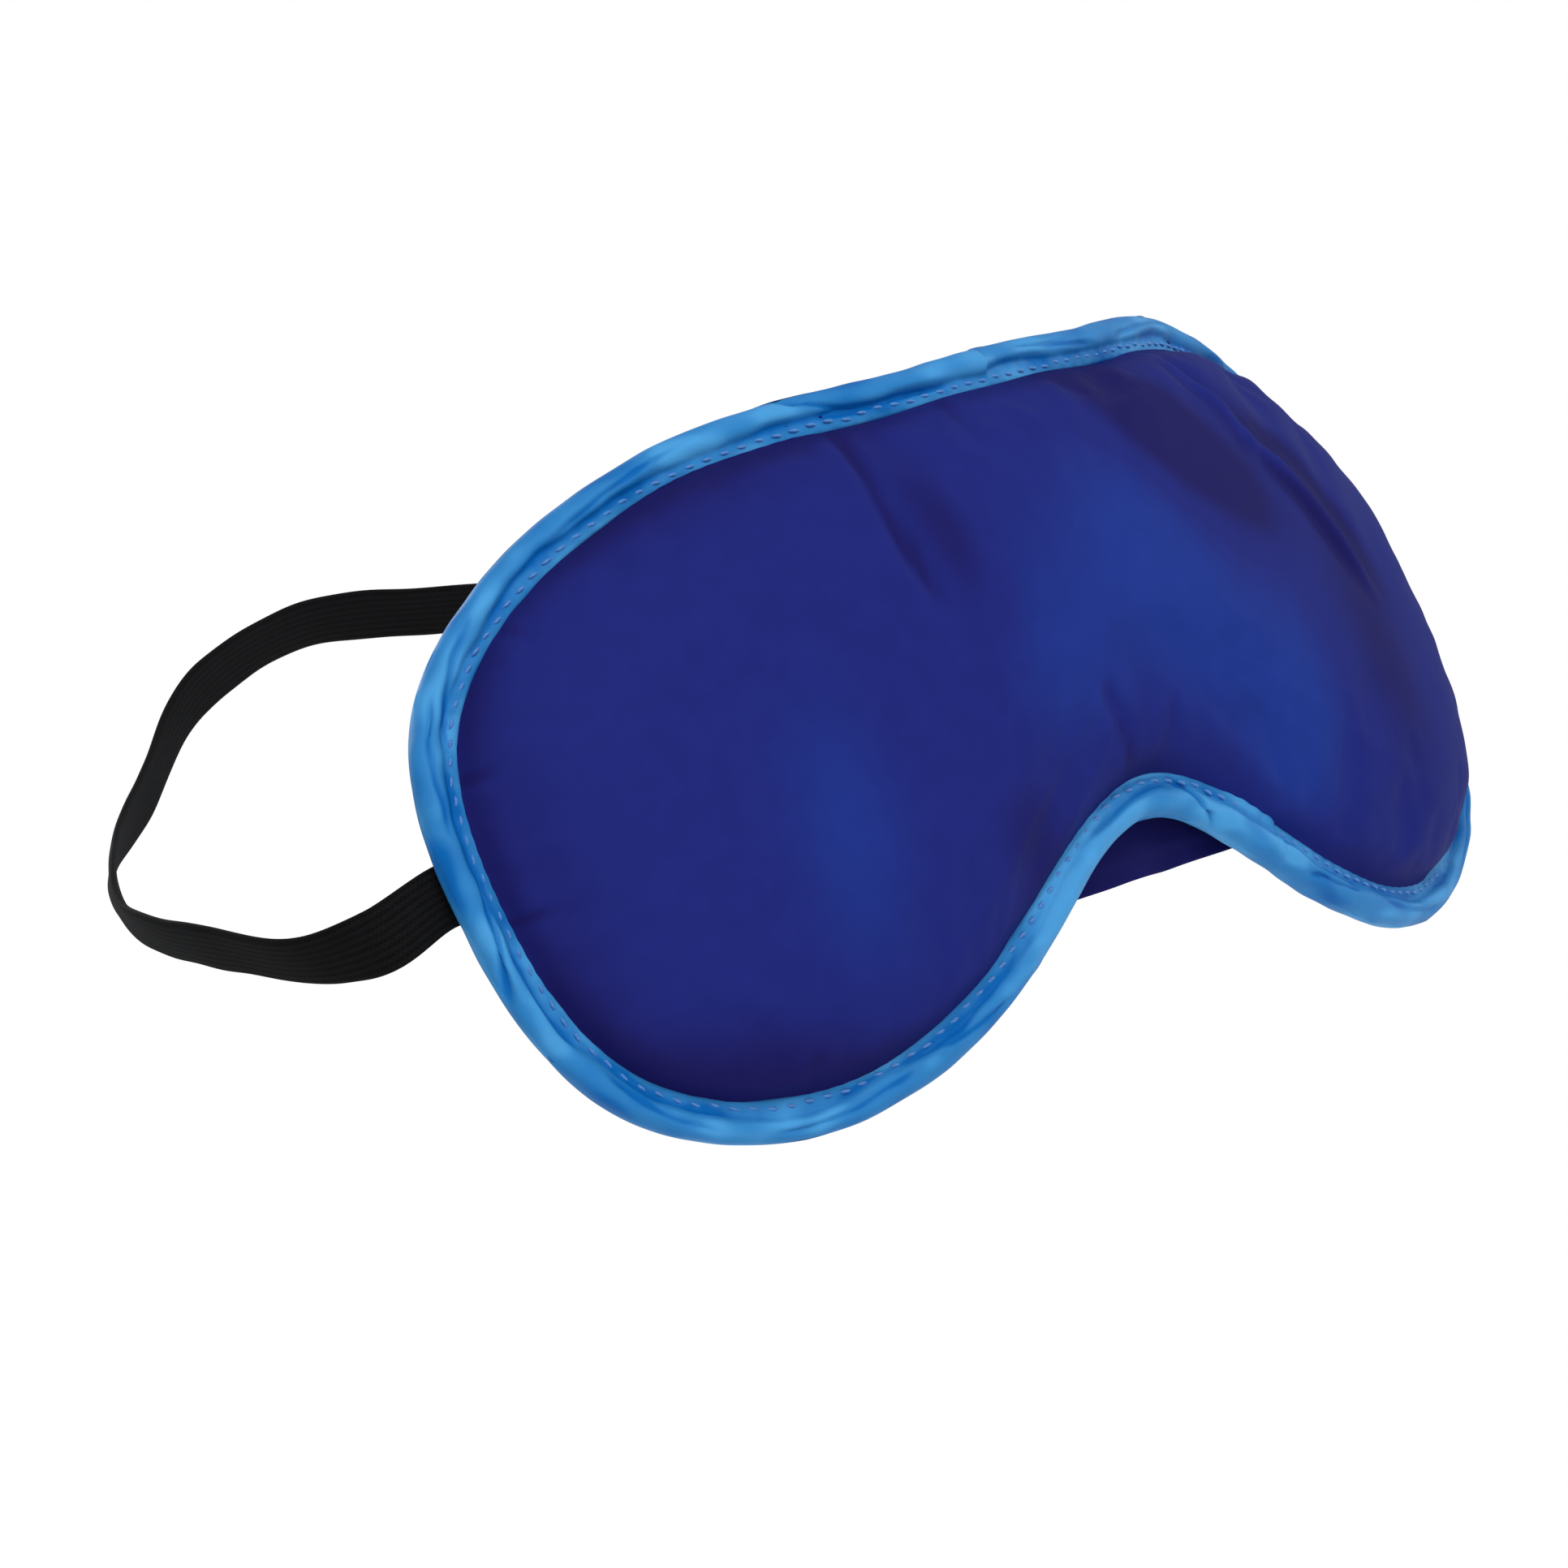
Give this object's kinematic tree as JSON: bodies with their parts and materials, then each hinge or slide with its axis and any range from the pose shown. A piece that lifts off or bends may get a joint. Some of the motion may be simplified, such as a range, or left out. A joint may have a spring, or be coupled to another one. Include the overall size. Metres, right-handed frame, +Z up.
{
  "type": "padded eye mask",
  "caption": "Padded satin eye mask with a bound edge, a nose notch with an inner nose flap, and an elastic head strap.",
  "frame": {"origin": "on the mask's middle layer at the bridge of the nose, level with the tips that the strap is sewn to", "axes": "as worn: +Z up towards the brow, -Y out of the front, +Y towards the wearer's face and the back of the head, +X towards the wearer's left"},
  "size_m": [0.2028, 0.1496, 0.0969],
  "materials": {
    "front_satin": "navy satin, soft sheen",
    "wadding": "white polyester wadding",
    "lining_satin": "navy satin",
    "binding_satin": "sky blue satin tape",
    "binding_thread": "blue sewing thread",
    "flap_satin": "dark navy satin",
    "seam_thread": "dark navy sewing thread",
    "strap_elastic": "black woven elastic, matte"
  },
  "bodies": {
    "mask": {"front_panel": "front_satin", "padding": "wadding", "back_lining": "lining_satin", "edge_binding": "binding_satin", "binding_topstitch": "binding_thread", "binding_backstitch": "binding_thread", "nose_flap_seam": "seam_thread", "strap_end_left": "strap_elastic", "strap_end_right": "strap_elastic", "strap_tack_left": "seam_thread", "strap_tack_right": "seam_thread"},
    "flap": {"nose_flap": "flap_satin"},
    "strap": {"elastic_strap": "strap_elastic"}
  },
  "joints": [
    {"name": "strap_swing", "type": "hinge", "parent": "mask", "child": "strap", "pos_m": [0, 0.03, 0.001], "axis": [1, 0, 0], "range_deg": [-100, 75]},
    {"name": "flap_fold", "type": "hinge", "parent": "mask", "child": "flap", "pos_m": [0, 0.00845, 0.002], "axis": [1, 0, 0], "range_deg": [0, 75]}
  ]
}
